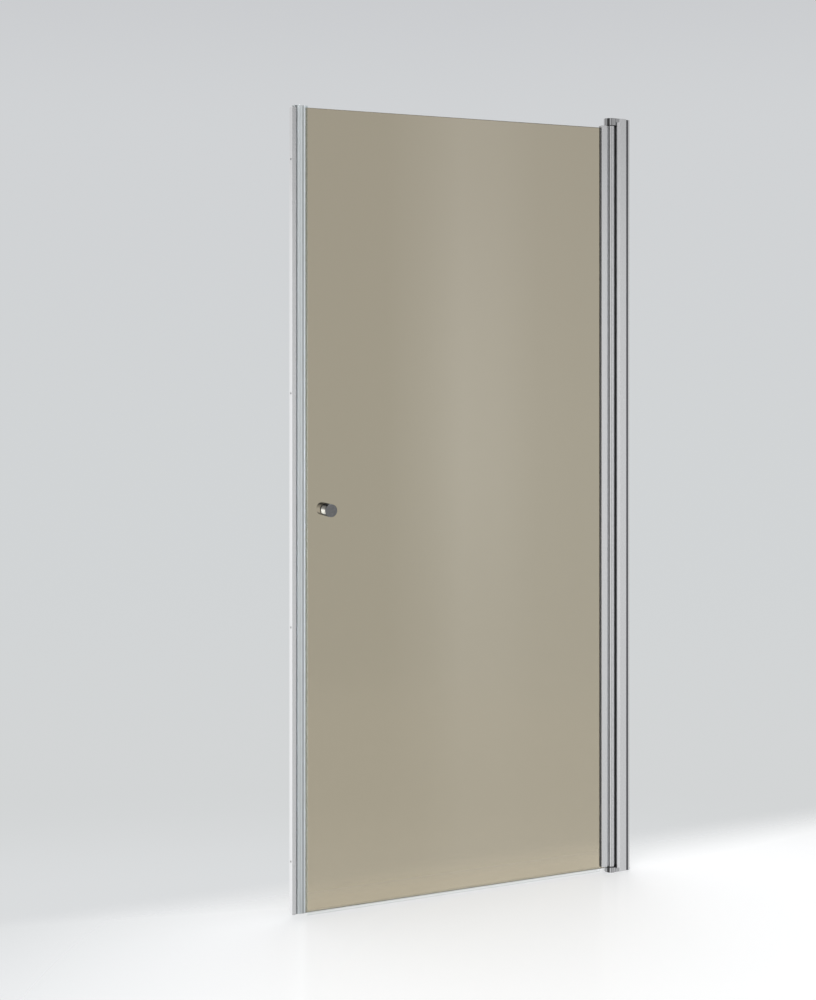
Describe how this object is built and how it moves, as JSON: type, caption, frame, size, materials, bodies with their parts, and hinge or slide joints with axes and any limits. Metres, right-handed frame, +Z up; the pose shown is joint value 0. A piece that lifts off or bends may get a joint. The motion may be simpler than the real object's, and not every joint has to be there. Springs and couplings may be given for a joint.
{
  "type": "pivot shower door",
  "caption": "Tinted glass pivot door for a shower niche, hung in a full-height hinge profile with pivot blocks top and bottom, magnet seals and a round knob.",
  "frame": {"origin": "midway between the two walls, in the middle of the glass's thickness, at the lower end of the fixed hinge profile, which is the floor line", "axes": "+Z up; +X along the width from the strike side to the hinge side; -Y is the room side, which the picture shows"},
  "size_m": [0.9, 0.065, 1.9],
  "materials": {
    "profile_metal": "bright polished and anodised",
    "chrome": "polished chrome plate",
    "tinted_glass": "bronze tinted tempered glass",
    "clear_seal": "clear soft plastic",
    "magnet": "white magnet strip",
    "black_rubber": "black soft rubber",
    "grey_plastic": "light grey moulded plastic",
    "black_plastic": "black bearing plastic",
    "clear_plastic": "clear plastic",
    "steel": "stainless steel"
  },
  "bodies": {
    "fixed_frame": {"hinge_wall_profile": "profile_metal", "hinge_post_profile": "profile_metal", "hinge_post_gasket": "black_rubber", "hinge_wall_plug_bottom": "grey_plastic", "hinge_wall_plug_top": "grey_plastic", "locking_screws": "steel", "locking_screw_caps": "chrome", "top_pivot_block": "chrome", "bottom_pivot_block": "chrome", "block_screws": "steel", "pin_lock_screws": "steel", "top_pivot_pin": "steel", "bottom_pivot_pin": "steel", "thrust_washer": "steel", "strike_wall_profile": "profile_metal", "strike_magnet_seal": "clear_seal", "strike_magnet_strip": "magnet"},
    "door": {"door_hinge_profile": "profile_metal", "top_pivot_bush": "black_plastic", "bottom_pivot_bush": "black_plastic", "glass_pane": "tinted_glass", "glazing_gasket_outer": "black_rubber", "glazing_gasket_inner": "clear_seal", "glass_setting_blocks": "clear_plastic", "channel_end_plug": "grey_plastic", "door_magnet_seal": "clear_seal", "door_magnet_strip": "magnet", "bottom_drip_seal": "clear_seal", "knob_outer": "chrome", "knob_inner": "chrome", "knob_stud": "steel", "knob_washer_outer": "black_rubber", "knob_washer_inner": "black_rubber", "knob_glass_sleeve": "clear_plastic", "knob_grub_screw": "steel"}
  },
  "joints": [
    {"name": "door_swing", "type": "hinge", "parent": "fixed_frame", "child": "door", "pos_m": [0.401, 0, 0], "axis": [0, 0, 1], "range_deg": [-90, 90]}
  ]
}
